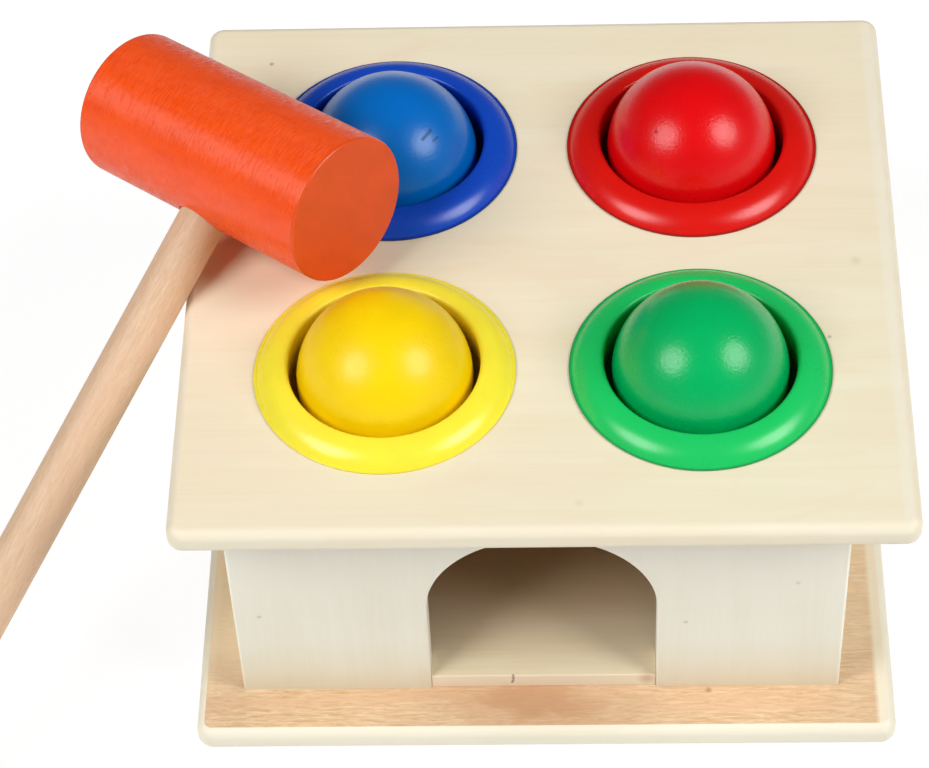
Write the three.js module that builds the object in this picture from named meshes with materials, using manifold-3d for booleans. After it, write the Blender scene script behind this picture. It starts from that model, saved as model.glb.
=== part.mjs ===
// Ball pounding bench: a plywood box with a doorway, four grip collars with balls, and a mallet.
// Millimetres, +Z up, +X to the right and -Y to the front.
// The origin is the centre of the base board's underside.
import * as THREE from "three";
import Module from "manifold-3d";
import { mergeVertices } from "three/addons/utils/BufferGeometryUtils.js";

// Balls, and how they are spaced
const ball_diameter = 35;
const hole_pitch_x = 62.2;
const hole_pitch_y = 60.5;
const blue_ball_sink = 1.4;
const red_ball_sink = -0.2;
const yellow_ball_sink = 1;
const green_ball_sink = 0.2;

// Collars, the moulded rings that line the holes
const collar_bore_room = 1.5;
const collar_lip_width = 6.9;
const collar_lip_height = 3.5;
const collar_wall = 2.2;
const collar_bead_width = 0.6;
const collar_bead_height = 2.2;
const collar_groove_depth = 1;
const collar_groove_height = 3.2;
const collar_groove_drop = 4.2;
const crest_inset_share = 0.13;

// Grip rings, the soft lips that hold the balls
const grip_gap = 0.2;
const grip_hold = 0.3;
const grip_high_angle = 17;
const grip_low_angle = 23;

// Plywood boards
const top_thickness = 6.1;
const base_thickness = 6.1;
const wall_thickness = 6.1;
const side_room = 2.6;
const end_room = 1.2;
const overhang_side = 10.4;
const overhang_end = 9.9;
const board_corner_radius = 3.2;
const board_edge_round = 2.1;
const wall_edge_round = 0.7;
const glue_line = 0.1;
const fit_gap = 0.3;
const cut_overrun = 1;

// How far the boards sit off centre, as they were glued up
const top_shift_x = 0.55;
const body_shift_x = -0.95;
const body_shift_y = 1.1;
const doorway_shift_x = 0.7;

// Doorway that the balls roll out of
const doorway_room = 11.3;
const doorway_jamb_height = 27.25;

// Ramp under the balls, and the ledge behind it
const ramp_slope = 10;
const ramp_thickness = 4;
const ramp_toe = 2.3;
const ramp_setback = 0.4;
const ball_headroom = 6.63;
const ledge_depth = 8;

// Dowels between the walls and the top board
const dowel_radius = 1.6;
const dowel_length = 12;
const dowel_depth_in_top = 3.6;
const dowel_chamfer = 0.4;
const dowel_place_share = 0.68;
const side_dowel_place_share = 0.44;

// Countersunk screws up through the base board
const screw_shank_radius = 1.3;
const screw_head_radius = 3;
const screw_head_height = 1.9;
const screw_length = 20;
const screw_tip_length = 3;
const screw_slot_width = 0.7;
const screw_slot_length = 3.4;
const screw_slot_depth = 0.9;

// Mallet, and how it leans on the bench
const head_radius = 15.2;
const head_length = 61.3;
const head_edge_round = 0.8;
const handle_radius = 4.95;
const handle_reach = 165.6;
const handle_socket_depth = 20;
const handle_end_round = 1.2;
const handle_turn = 35.1;
const head_roll = 10;
const head_inset = 10.97;
const head_place_y = 12.83;

// How finely the round shapes are drawn
const ring_sides = 28;
const ball_sides = 22;
const ball_rows = 12;
const rod_sides = 18;
const pin_sides = 8;
const corner_steps = 4;
const edge_steps = 3;
const dome_steps = 4;
const doorway_steps = 14;

// Sizes that follow from the ones above
const radians = Math.PI / 180;
const ball_radius = ball_diameter / 2;
const bore_radius = ball_radius + collar_bore_room;
const lip_radius = bore_radius + collar_lip_width;
const neck_radius = bore_radius + collar_wall;
const bead_radius = neck_radius + collar_bead_width;
const hole_radius = neck_radius + fit_gap;
const inner_width = hole_pitch_x + 2 * (bead_radius + side_room);
const inner_depth = hole_pitch_y + 2 * (bead_radius + end_room);
const body_width = inner_width + 2 * wall_thickness;
const body_depth = inner_depth + 2 * wall_thickness;
const bench_width = body_width + 2 * overhang_side;
const bench_depth = body_depth + 2 * overhang_end;
const doorway_width = ball_diameter + doorway_room;
const slope_rise = Math.tan(ramp_slope * radians);
const slope_stretch = 1 / Math.cos(ramp_slope * radians);
const ramp_edge_height = ramp_thickness * slope_stretch + glue_line - ramp_toe * slope_rise;
const ramp_front_y = body_shift_y - body_depth / 2 + ramp_setback;
const inner_back_y = body_shift_y + inner_depth / 2;
const inner_front_y = body_shift_y - inner_depth / 2;
const back_hole_y = body_shift_y + hole_pitch_y / 2;
const front_hole_y = body_shift_y - hole_pitch_y / 2;
const wall_height = rampTopAt(back_hole_y) + ball_radius * slope_stretch + ball_radius + ball_headroom;
const wall_foot = base_thickness + glue_line;
const wall_top = wall_foot + wall_height;
const top_underside = wall_top + glue_line;
const top_face = top_underside + top_thickness;

// Height of the ramp's upper face over the base board, at a place along the bench
function rampTopAt(y) {
  return ramp_edge_height + (y - ramp_front_y) * slope_rise;
}

const wasm = await Module();
wasm.setup();

// One closed surface with its shared corners joined
function joined(geometry) {
  geometry.deleteAttribute("normal");
  geometry.deleteAttribute("uv");
  return mergeVertices(geometry);
}

function solidOf(geometry) {
  const whole = joined(geometry.clone());
  return new wasm.Manifold(new wasm.Mesh({
    numProp: 3,
    vertProperties: new Float32Array(whole.attributes.position.array),
    triVerts: new Uint32Array(whole.index.array),
  }));
}

// A shape with other shapes cut out of it
function cut(geometry, tools) {
  let solid = solidOf(geometry);
  for (const tool of tools) {
    solid = solid.subtract(solidOf(tool));
  }
  const mesh = solid.getMesh();
  const result = new THREE.BufferGeometry();
  result.setAttribute("position", new THREE.BufferAttribute(mesh.vertProperties, mesh.numProp));
  result.setIndex(new THREE.BufferAttribute(mesh.triVerts, 1));
  result.computeVertexNormals();
  return result;
}

function material(color, roughness, metalness = 0) {
  return new THREE.MeshStandardMaterial({ color, roughness, metalness });
}

function piece(name, geometry, look, parent) {
  const mesh = new THREE.Mesh(geometry, look);
  mesh.name = name;
  parent.add(mesh);
  return mesh;
}

const bench = new THREE.Group();

// A flat board seen from above, with rounded corners, standing on z = 0
function board(width, depth, thickness, corner, round) {
  const x = width / 2 - corner;
  const y = depth / 2 - corner;
  const outline = new THREE.Shape();
  outline.absarc(x, y, corner, 0, Math.PI / 2);
  outline.absarc(-x, y, corner, Math.PI / 2, Math.PI);
  outline.absarc(-x, -y, corner, Math.PI, 1.5 * Math.PI);
  outline.absarc(x, -y, corner, 1.5 * Math.PI, 2 * Math.PI);
  return easedSheet(outline, thickness, round, edge_steps, corner_steps);
}

// A sheet cut to an outline, with its edges rounded over
function easedSheet(outline, thickness, round, round_steps, outline_steps) {
  const sheet = new THREE.ExtrudeGeometry(outline, {
    depth: thickness - 2 * round,
    bevelThickness: round,
    bevelSize: round,
    bevelOffset: -round,
    bevelSegments: round_steps,
    curveSegments: outline_steps,
  });
  sheet.translate(0, 0, round);
  return sheet;
}

// A round pin or hole along Z, from one height to another
function pin(radius, low, high, sides = pin_sides) {
  const rod = new THREE.CylinderGeometry(radius, radius, high - low, sides);
  rod.rotateX(Math.PI / 2);
  rod.translate(0, 0, (low + high) / 2);
  return rod;
}

// A turned shape about Z, from a closed profile of radius and height pairs
function turned(profile, sides) {
  const points = profile.map(([radius, height]) => new THREE.Vector2(radius, height));
  const shape = new THREE.LatheGeometry(points, sides);
  shape.rotateX(Math.PI / 2);
  return joined(shape);
}

// Where the screws and dowels go, measured from the middle of the body

const cheek_middle = (doorway_width + body_width) / 4;
const wall_middle_x = (inner_width + wall_thickness) / 2;
const wall_middle_y = (inner_depth + wall_thickness) / 2;
const screw_places = {
  screw_front_left: [-cheek_middle, -wall_middle_y],
  screw_front_right: [cheek_middle, -wall_middle_y],
  screw_back_left: [-cheek_middle, wall_middle_y],
  screw_back_right: [cheek_middle, wall_middle_y],
  screw_side_left: [-wall_middle_x, 0],
  screw_side_right: [wall_middle_x, 0],
};
const dowel_x = dowel_place_share * body_width / 2;
const dowel_y = side_dowel_place_share * inner_depth / 2;
const dowel_places = {
  dowel_front_left: [-dowel_x, -wall_middle_y],
  dowel_front_right: [dowel_x, -wall_middle_y],
  dowel_back_left: [-dowel_x, wall_middle_y],
  dowel_back_right: [dowel_x, wall_middle_y],
  dowel_left_front: [-wall_middle_x, -dowel_y],
  dowel_left_back: [-wall_middle_x, dowel_y],
  dowel_right_front: [wall_middle_x, -dowel_y],
  dowel_right_back: [wall_middle_x, dowel_y],
};

// Base board, with a countersunk hole for each screw
function screwShape(extra) {
  const shank = screw_shank_radius + extra;
  const head = screw_head_radius + extra;
  return turned([
    [0, -extra],
    [head, -extra],
    [shank, screw_head_height],
    [shank, screw_length - screw_tip_length],
    [0, screw_length + extra],
  ], pin_sides);
}

function makeBase() {
  const sheet = board(bench_width, bench_depth, base_thickness, board_corner_radius, board_edge_round);
  const holes = Object.values(screw_places).map(([x, y]) => {
    const hole = screwShape(fit_gap);
    hole.translate(body_shift_x + x, body_shift_y + y, 0);
    return hole;
  });
  piece("base_board", cut(sheet, holes), material(0xdcb98e, 0.6), bench);
}
makeBase();

// Walls: each stands in its own turned group, with its outer face to the group's front
function wallOutline(width, doorway) {
  const half = width / 2;
  const outline = new THREE.Shape();
  outline.moveTo(-half, 0);
  if (doorway) {
    const door = doorway_width / 2;
    outline.lineTo(doorway_shift_x - door, 0);
    outline.lineTo(doorway_shift_x - door, doorway_jamb_height);
    outline.absarc(doorway_shift_x, doorway_jamb_height, door, Math.PI, 0, true);
    outline.lineTo(doorway_shift_x + door, 0);
  }
  outline.lineTo(half, 0);
  outline.lineTo(half, wall_height);
  outline.lineTo(-half, wall_height);
  outline.closePath();
  return outline;
}

// Screw holes in the foot of a wall and dowel holes in its top, at places along its width
function wallHoles(screws, dowels) {
  const holes = [];
  const screw_depth = screw_length - wall_foot + fit_gap;
  const dowel_depth = dowel_length - dowel_depth_in_top + fit_gap;
  for (const along of screws) {
    const hole = pin(screw_shank_radius + fit_gap, -cut_overrun, screw_depth);
    hole.rotateX(-Math.PI / 2);
    hole.translate(along, 0, wall_thickness / 2);
    holes.push(hole);
  }
  for (const along of dowels) {
    const hole = pin(dowel_radius + fit_gap, wall_height - dowel_depth, wall_height + cut_overrun);
    hole.rotateX(-Math.PI / 2);
    hole.translate(along, 0, wall_thickness / 2);
    holes.push(hole);
  }
  return holes;
}

function makeWall(name, spec) {
  const outline = wallOutline(spec.width, spec.doorway);
  const shape = easedSheet(outline, wall_thickness, wall_edge_round, 1, doorway_steps);
  const side = new THREE.Group();
  side.position.set(body_shift_x + spec.place[0], body_shift_y + spec.place[1], wall_foot);
  side.rotation.z = spec.turn * radians;
  bench.add(side);
  const look = material(0xe2dccb, 0.65);
  const wall = piece(name, cut(shape, wallHoles(spec.screws, spec.dowels)), look, side);
  wall.rotation.x = Math.PI / 2;
}

const side_width = inner_depth - 2 * glue_line;
const front_fixings = { screws: [-cheek_middle, cheek_middle], dowels: [-dowel_x, dowel_x] };
const side_fixings = { screws: [0], dowels: [-dowel_y, dowel_y] };
makeWall("front_panel", {
  width: body_width, doorway: true, place: [0, -inner_depth / 2], turn: 0, ...front_fixings,
});
makeWall("back_panel", {
  width: body_width, doorway: false, place: [0, inner_depth / 2], turn: 180, ...front_fixings,
});
makeWall("right_panel", {
  width: side_width, doorway: false, place: [inner_width / 2, 0], turn: 90, ...side_fixings,
});
makeWall("left_panel", {
  width: side_width, doorway: false, place: [-inner_width / 2, 0], turn: -90, ...side_fixings,
});

// Ramp and ledge: side profiles in Y and Z, drawn out along X
const sideways = new THREE.Matrix4().makeBasis(
  new THREE.Vector3(0, 1, 0),
  new THREE.Vector3(0, 0, 1),
  new THREE.Vector3(1, 0, 0),
);

function drawnAcross(profile, width) {
  const outline = new THREE.Shape(profile.map(([y, z]) => new THREE.Vector2(y, z)));
  const shape = new THREE.ExtrudeGeometry(outline, { depth: width, bevelEnabled: false });
  shape.translate(0, 0, -width / 2);
  shape.applyMatrix4(sideways);
  return shape;
}

function makeRamp() {
  const far_y = inner_back_y - fit_gap;
  const drop = ramp_thickness * slope_stretch;
  const profile = [
    [ramp_front_y, glue_line],
    [ramp_front_y + ramp_toe, glue_line],
    [far_y, rampTopAt(far_y) - drop],
    [far_y, rampTopAt(far_y)],
    [ramp_front_y, rampTopAt(ramp_front_y)],
  ];
  const corner_width = inner_width;
  const corner_depth = wall_thickness + cut_overrun;
  const corners = [-1, 1].map((side) => {
    const corner = new THREE.BoxGeometry(corner_width, corner_depth, wall_height);
    const edge = doorway_width / 2 - fit_gap;
    corner.translate(doorway_shift_x + side * (edge + corner_width / 2), 0, 0);
    corner.translate(0, inner_front_y + fit_gap - corner_depth / 2, 0);
    return corner;
  });
  const shape = cut(drawnAcross(profile, inner_width - 2 * fit_gap), corners);
  piece("ramp", shape, material(0xd6c6a0, 0.65), bench).position.set(body_shift_x, 0, base_thickness);

  const ledge_front = inner_back_y - fit_gap - ledge_depth;
  const under = (y) => rampTopAt(y) - drop - fit_gap;
  const ledge = drawnAcross([
    [ledge_front, glue_line],
    [far_y, glue_line],
    [far_y, under(far_y)],
    [ledge_front, under(ledge_front)],
  ], inner_width - 2 * fit_gap);
  const look = material(0xd8b88c, 0.7);
  piece("ramp_ledge", joined(ledge), look, bench).position.set(body_shift_x, 0, base_thickness);
}
makeRamp();

// Top board, with the four round holes and a blind hole over each dowel
const hole_places = {
  blue: [top_shift_x - hole_pitch_x / 2, back_hole_y],
  red: [top_shift_x + hole_pitch_x / 2, back_hole_y],
  yellow: [top_shift_x - hole_pitch_x / 2, front_hole_y],
  green: [top_shift_x + hole_pitch_x / 2, front_hole_y],
};

function makeTop() {
  const sheet = board(bench_width, bench_depth, top_thickness, board_corner_radius, board_edge_round);
  const holes = Object.values(hole_places).map(([x, y]) => {
    const hole = pin(hole_radius, -cut_overrun, top_thickness + cut_overrun, ring_sides);
    hole.translate(x - top_shift_x, y, 0);
    return hole;
  });
  for (const [x, y] of Object.values(dowel_places)) {
    const hole = pin(dowel_radius + fit_gap, -cut_overrun, dowel_depth_in_top + fit_gap);
    hole.translate(body_shift_x - top_shift_x + x, body_shift_y + y, 0);
    holes.push(hole);
  }
  const top = piece("top_board", cut(sheet, holes), material(0xf0e5c8, 0.55), bench);
  top.position.set(top_shift_x, 0, top_underside);
}
makeTop();

// Collars: a domed lip on the board, a neck through it and a bead that snaps in under it
function collarProfile() {
  const crest = bore_radius + crest_inset_share * collar_lip_width;
  const foot = glue_line;
  const neck_bottom = -top_thickness - glue_line;
  const bottom = neck_bottom - collar_bead_height;
  const groove_top = -collar_groove_drop;
  const groove_bottom = groove_top - collar_groove_height;
  const points = [
    [bore_radius, bottom],
    [neck_radius, bottom],
    [bead_radius, bottom + collar_bead_height / 2],
    [bead_radius, neck_bottom],
    [neck_radius, neck_bottom],
    [neck_radius, foot],
  ];
  const dome_width = lip_radius - crest;
  const dome_height = collar_lip_height - foot;
  const dome_radius = (dome_width ** 2 + dome_height ** 2) / (2 * dome_height);
  const dome_turn = Math.asin(dome_width / dome_radius);
  for (let step = 0; step <= dome_steps; step += 1) {
    const turn = dome_turn * (1 - step / dome_steps);
    const radius = crest + dome_radius * Math.sin(turn);
    const height = collar_lip_height - dome_radius * (1 - Math.cos(turn));
    points.push([radius, height]);
  }
  for (let step = 1; step <= edge_steps; step += 1) {
    const turn = (step / edge_steps) * Math.PI / 2;
    const radius = crest - (crest - bore_radius) * Math.sin(turn);
    const height = collar_lip_height - (crest - bore_radius) * (1 - Math.cos(turn));
    points.push([radius, height]);
  }
  points.push(
    [bore_radius, groove_top],
    [bore_radius + collar_groove_depth, groove_top],
    [bore_radius + collar_groove_depth, groove_bottom],
    [bore_radius, groove_bottom],
    [bore_radius, bottom],
  );
  return points;
}

// Grip ring: a soft ring in the collar's groove, with a lip that follows the ball below its middle
function gripProfile(sink) {
  const top = -collar_groove_drop - grip_gap;
  const bottom = top - collar_groove_height + 2 * grip_gap;
  const outside = bore_radius + collar_groove_depth - grip_gap;
  const reach = ball_radius + grip_hold;
  const at = (angle) => [reach * Math.cos(angle * radians), -sink - reach * Math.sin(angle * radians)];
  const middle = (grip_high_angle + grip_low_angle) / 2;
  const low = at(grip_low_angle);
  return [
    [outside, bottom],
    [outside, top],
    [bore_radius - grip_gap, top],
    at(grip_high_angle),
    at(middle),
    low,
    [low[0] + collar_groove_depth, low[1] - collar_groove_depth / 2],
    [bore_radius - grip_gap, bottom],
    [outside, bottom],
  ];
}

const ball_looks = {
  blue: { sink: blue_ball_sink, ball: 0x1c62b0, collar: 0x1f45b8, grip: 0x17348c },
  red: { sink: red_ball_sink, ball: 0xcf1420, collar: 0xc4141e, grip: 0x8e1018 },
  yellow: { sink: yellow_ball_sink, ball: 0xf6c90e, collar: 0xf5e012, grip: 0xc4a80c },
  green: { sink: green_ball_sink, ball: 0x16a04f, collar: 0x20c25f, grip: 0x12843c },
};

function makeBallStation(color, look) {
  const station = new THREE.Group();
  station.position.set(...hole_places[color], top_face);
  bench.add(station);
  const plastic = material(look.collar, 0.3);
  const rubber = material(look.grip, 0.6);
  piece("collar_" + color, turned(collarProfile(), ring_sides), plastic, station);
  piece("grip_ring_" + color, turned(gripProfile(look.sink), ring_sides), rubber, station);
  const sphere = joined(new THREE.SphereGeometry(ball_radius, ball_sides, ball_rows));
  sphere.rotateX(Math.PI / 2);
  piece("ball_" + color, sphere, material(look.ball, 0.35), station).position.z = -look.sink;
}

for (const [color, look] of Object.entries(ball_looks)) {
  makeBallStation(color, look);
}

// Dowels, half in the walls and half in the top board
function makeDowels() {
  const low = top_underside + dowel_depth_in_top - dowel_length;
  for (const [name, [x, y]] of Object.entries(dowel_places)) {
    const shape = turned([
      [0, 0],
      [dowel_radius - dowel_chamfer, 0],
      [dowel_radius, dowel_chamfer],
      [dowel_radius, dowel_length - dowel_chamfer],
      [dowel_radius - dowel_chamfer, dowel_length],
      [0, dowel_length],
    ], pin_sides);
    const dowel = piece(name, shape, material(0xdcb88a, 0.7), bench);
    dowel.position.set(body_shift_x + x, body_shift_y + y, low);
  }
}
makeDowels();

// Screws, with a cross slot in the head
function makeScrews() {
  for (const [name, [x, y]] of Object.entries(screw_places)) {
    const slots = [[screw_slot_width, screw_slot_length], [screw_slot_length, screw_slot_width]];
    const tools = slots.map(([wide, long]) => new THREE.BoxGeometry(wide, long, 2 * screw_slot_depth));
    const shape = cut(screwShape(0), tools);
    const screw = piece(name, shape, material(0xb9bcc0, 0.35, 1), bench);
    screw.position.set(body_shift_x + x, body_shift_y + y, glue_line);
  }
}
makeScrews();

// Mallet: it leans with its handle on the top board's rounded left edge and its tip on the ground.
// The slope of the handle and the height of the head follow from each other, so they settle together.
function settledMallet() {
  const edge_x = top_shift_x - bench_width / 2;
  const arc_x = edge_x + board_edge_round;
  const arc_z = top_face - board_edge_round;
  const centre_x = edge_x + head_inset;
  const reach = board_edge_round + handle_radius + fit_gap;
  const turn = handle_turn * radians;
  let slope = 0;
  let height = top_face + head_radius;
  const rounds = 60;
  for (let round = 0; round < rounds; round += 1) {
    const fall = height - fit_gap - handle_radius * Math.cos(slope);
    slope = Math.asin(fall / handle_reach);
    const across = Math.hypot(Math.sin(turn) * Math.cos(slope), Math.sin(slope));
    const out = Math.sin(slope) / across;
    const down = (Math.sin(turn) * Math.cos(slope)) / across;
    height = arc_z + (reach + (centre_x - arc_x) * out) / down;
  }
  return { slope, place: [centre_x, head_place_y, height] };
}

// The rounded edge at the end of a turned rod, from its flat end to its side
function roundedEdge(radius, end, round) {
  const points = [];
  for (let step = 0; step <= edge_steps; step += 1) {
    const turn = (step / edge_steps) * Math.PI / 2;
    points.push([radius - round + round * Math.sin(turn), end - round + round * Math.cos(turn)]);
  }
  return points;
}

function makeMallet() {
  const { slope, place } = settledMallet();
  const yaw = new THREE.Group();
  yaw.position.set(...place);
  yaw.rotation.z = -handle_turn * radians;
  bench.add(yaw);
  const lean = new THREE.Group();
  lean.rotation.x = slope - Math.PI / 2;
  yaw.add(lean);
  const mallet = new THREE.Group();
  mallet.rotation.z = -head_roll * radians;
  lean.add(mallet);

  const half = head_length / 2;
  const head_edge = roundedEdge(head_radius, half, head_edge_round);
  const head = turned([
    [0, -half],
    ...head_edge.map(([radius, height]) => [radius, -height]),
    ...head_edge.reverse(),
    [0, half],
  ], ring_sides);
  head.rotateY(Math.PI / 2);
  const socket_end = handle_socket_depth - head_radius;
  const socket = pin(handle_radius + fit_gap, -head_radius - cut_overrun, socket_end + fit_gap, rod_sides);
  piece("mallet_head", cut(head, [socket]), material(0xee5a24, 0.4), mallet);

  const tip_edge = roundedEdge(handle_radius, handle_reach, handle_end_round);
  const handle = turned([
    [0, -handle_reach],
    ...tip_edge.map(([radius, height]) => [radius, -height]),
    [handle_radius, socket_end],
    [0, socket_end],
  ], rod_sides);
  piece("mallet_handle", handle, material(0xdcb48c, 0.6), mallet);
}
makeMallet();

export default bench;
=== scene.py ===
import math

import bmesh
import bpy
from mathutils import Matrix, Vector, noise


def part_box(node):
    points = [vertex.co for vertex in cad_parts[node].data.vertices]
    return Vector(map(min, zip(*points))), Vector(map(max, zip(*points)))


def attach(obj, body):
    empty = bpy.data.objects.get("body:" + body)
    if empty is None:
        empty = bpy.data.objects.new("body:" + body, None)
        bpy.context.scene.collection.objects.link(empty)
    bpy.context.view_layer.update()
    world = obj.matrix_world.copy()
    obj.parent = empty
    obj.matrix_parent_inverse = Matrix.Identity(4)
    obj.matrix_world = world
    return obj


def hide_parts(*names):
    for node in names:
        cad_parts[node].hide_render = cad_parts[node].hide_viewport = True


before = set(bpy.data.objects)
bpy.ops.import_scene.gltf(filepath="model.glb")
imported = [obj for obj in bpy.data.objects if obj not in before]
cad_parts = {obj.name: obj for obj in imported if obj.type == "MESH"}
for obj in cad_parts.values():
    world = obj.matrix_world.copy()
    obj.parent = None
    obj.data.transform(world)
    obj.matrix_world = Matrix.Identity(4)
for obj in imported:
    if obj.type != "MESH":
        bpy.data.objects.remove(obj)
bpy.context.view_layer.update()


# Base board: a plywood rectangle with a tan beech face over a pale core. Its corners are
# rounded, and its edges are run over with a round bit, which cuts through the thin face.
# The walls stand on it, and six screws come up through it from below.
mm = 0.001
x_axis, y_axis, z_axis = range(3)
base_low, base_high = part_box("base_board")
board_corner = 3.2 * mm
board_round = 2.1 * mm
face_veneer = 0.06 * mm


def rounded_plan(low, high, corner, steps=14):
    """A rectangle seen from above, each corner turned in an arc, going round to the left."""
    middle = (low + high) / 2
    plan = []
    for quarter in range(4):
        side_x = 1 if quarter in (0, 3) else -1
        side_y = 1 if quarter < 2 else -1
        for step in range(steps + 1):
            turn = (quarter + step / steps) * math.pi / 2
            plan.append(Vector((
                middle.x + side_x * ((high.x - low.x) / 2 - corner) + corner * math.cos(turn),
                middle.y + side_y * ((high.y - low.y) / 2 - corner) + corner * math.sin(turn),
            )))
    return plan


def moved_in(plan, depth, least_mitre=0.4):
    """The same outline with every edge moved in square to itself."""
    moved = []
    for place, here in enumerate(plan):
        into = (here - plan[place - 1]).normalized()
        out_of = (plan[(place + 1) % len(plan)] - here).normalized()
        square = Vector((-into.y, into.x))
        across = (square + Vector((-out_of.y, out_of.x))).normalized()
        moved.append(here + across * depth / max(across.dot(square), least_mitre))
    return moved


def eased_sheet(plan, low, high, ease, steps=6):
    """A sheet between two heights, with its edges run over."""
    bm = bmesh.new()
    rows = []
    for step in range(2 * steps + 2):
        climb = step if step <= steps else 2 * steps + 1 - step
        turn = climb / steps * math.pi / 2
        rise = ease * (1 - math.cos(turn))
        height = low + rise if step <= steps else high - rise
        row = moved_in(plan, ease * (1 - math.sin(turn)))
        rows.append([bm.verts.new((place.x, place.y, height)) for place in row])
    for lower, upper in zip(rows, rows[1:]):
        for side in range(len(plan)):
            after = (side + 1) % len(plan)
            bm.faces.new((lower[side], lower[after], upper[after], upper[side]))
    bm.faces.new(reversed(rows[0]))
    bm.faces.new(rows[-1])
    return bm


def turned(profile, sides, ring=False):
    """A shape turned about Z from pairs of radius and height. A ring's profile is closed."""
    bm = bmesh.new()
    rows = []
    for radius, height in profile:
        spokes = sides if radius > 0 else 1
        angles = [spoke / spokes * 2 * math.pi for spoke in range(spokes)]
        rows.append([bm.verts.new((radius * math.cos(angle), radius * math.sin(angle), height))
                     for angle in angles])
    pairs = list(zip(rows, rows[1:]))
    if ring:
        pairs.append((rows[-1], rows[0]))
    for lower, upper in pairs:
        for side in range(sides):
            after = side + 1
            corners = [(lower, side), (lower, after), (upper, after), (upper, side)]
            corners = list(dict.fromkeys(row[place % len(row)] for row, place in corners))
            if len(corners) > 2:
                bm.faces.new(corners)
    bmesh.ops.recalc_face_normals(bm, faces=bm.faces)
    return bm


def shaped(name, bm, sharpest=38, even=False):
    """A piece from its mesh, smooth except where it turns by more than an angle in degrees."""
    mesh = bpy.data.meshes.new(name)
    bm.to_mesh(mesh)
    bm.free()
    mesh.shade_smooth()
    mesh.set_sharp_from_angle(angle=math.radians(sharpest))
    made = bpy.data.objects.new(name, mesh)
    bpy.context.scene.collection.objects.link(made)
    if even:
        made.modifiers.new("even", "WEIGHTED_NORMAL").keep_sharp = True
    return made


def cut_away(bm, tools):
    """The mesh with other closed meshes cut out of it."""
    block = shaped("block", bm)
    for tool in tools:
        cut = block.modifiers.new("cut", "BOOLEAN")
        cut.solver = "EXACT"
        cut.object = shaped("cutter", tool)
    ready = block.evaluated_get(bpy.context.evaluated_depsgraph_get())
    result = bmesh.new()
    result.from_mesh(ready.to_mesh())
    for used in [modifier.object for modifier in block.modifiers] + [block]:
        bpy.data.objects.remove(used)
    return result


# Six countersunk holes, where the record has the screws
screw_names = [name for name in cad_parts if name.startswith("screw_")]
screw_head_radius = 3.0 * mm
screw_shank_radius = 1.3 * mm
screw_head_height = 1.9 * mm
screw_sides = 32
drill_room = 0.3 * mm


def stood_in(bm, low, high):
    """A mesh about Z moved to the middle of a box, seen from above."""
    bm.transform(Matrix.Translation(((low.x + high.x) / 2, (low.y + high.y) / 2, 0)))
    return bm


def screw_hole(name):
    """The room for one screw, wider than it all round."""
    low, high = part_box(name)
    return stood_in(turned([
        (0, low.z - drill_room),
        (screw_head_radius + drill_room, low.z - drill_room),
        (screw_shank_radius + drill_room, screw_head_height),
        (screw_shank_radius + drill_room, high.z + drill_room),
        (0, high.z + drill_room),
    ], screw_sides), low, high)


base_sheet = eased_sheet(rounded_plan(base_low, base_high, board_corner),
                         base_low.z, base_high.z, board_round)
base_sheet = cut_away(base_sheet, [screw_hole(name) for name in screw_names])
base = shaped("base_board_dressed", base_sheet, even=True)


def paint(red, green, blue):
    """A colour as the eye names it, from 0 to 255, turned into light."""
    shares = [part / 255 for part in (red, green, blue)]
    return [s / 12.92 if s <= 0.04045 else ((s + 0.055) / 1.055) ** 2.4 for s in shares] + [1]


def darker(colour, share):
    """A colour with only a share of its light left."""
    return [part * share for part in colour[:3]] + [1]


def put(tree, kind, sockets=None, **settings):
    """A node with its settings and sockets filled in."""
    node = tree.nodes.new("ShaderNode" + kind)
    for name, value in settings.items():
        setattr(node, name, value)
    for name, value in (sockets or {}).items():
        if isinstance(value, bpy.types.NodeSocket):
            tree.links.new(value, node.inputs[name])
        else:
            node.inputs[name].default_value = value
    return node


def worked_out(tree, operation, *numbers):
    """One number worked out from others."""
    return put(tree, "Math", dict(enumerate(numbers)), operation=operation).outputs[0]


def spread(tree, share, low, high, to_low=0.0, to_high=1.0):
    """A share stretched from one range to another, and kept inside it."""
    return put(tree, "MapRange", {
        "Value": share, "From Min": low, "From Max": high, "To Min": to_low, "To Max": to_high,
    }).outputs["Result"]


def weakened(tree, share, most):
    """A share from 0 to 1, brought down so that it reaches no more than another."""
    return spread(tree, share, 0, 1, 0, most)


def over(tree, share, under, upper):
    """One colour laid over another by a share. A mix node has its two colours at 6 and 7."""
    return put(tree, "Mix", {0: share, 6: under, 7: upper}, data_type="RGBA").outputs[2]


def finish(name, roughness, lie=Matrix()):
    """A new finish: its material, its nodes and its shader. A piece that slants gives its lie."""
    look = bpy.data.materials.new(name)
    look.use_nodes = True
    tree = look.node_tree
    shader = tree.nodes["Principled BSDF"]
    shader.inputs["Roughness"].default_value = roughness
    put(tree, "Mapping", {
        "Vector": put(tree, "TexCoord").outputs["Object"],
        "Location": lie.translation, "Rotation": lie.to_euler(),
    }, vector_type="TEXTURE", name="place on the piece")
    return look, tree, shader


def place_on(tree):
    """Where a point is on its piece."""
    return tree.nodes["place on the piece"].outputs["Vector"]


def measures(tree):
    """Where a point is on its piece, as three numbers, one for each axis."""
    return put(tree, "SeparateXYZ", {"Vector": place_on(tree)}).outputs


def layer_in(tree, axis, first, second=None):
    """Which layer of a board a point is in: 0 before the first bound, and 1 more past each one."""
    height = measures(tree)[axis]
    layer = worked_out(tree, "GREATER_THAN", height, first)
    if second is not None:
        layer = worked_out(tree, "ADD", layer, worked_out(tree, "GREATER_THAN", height, second))
    return layer


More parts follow.
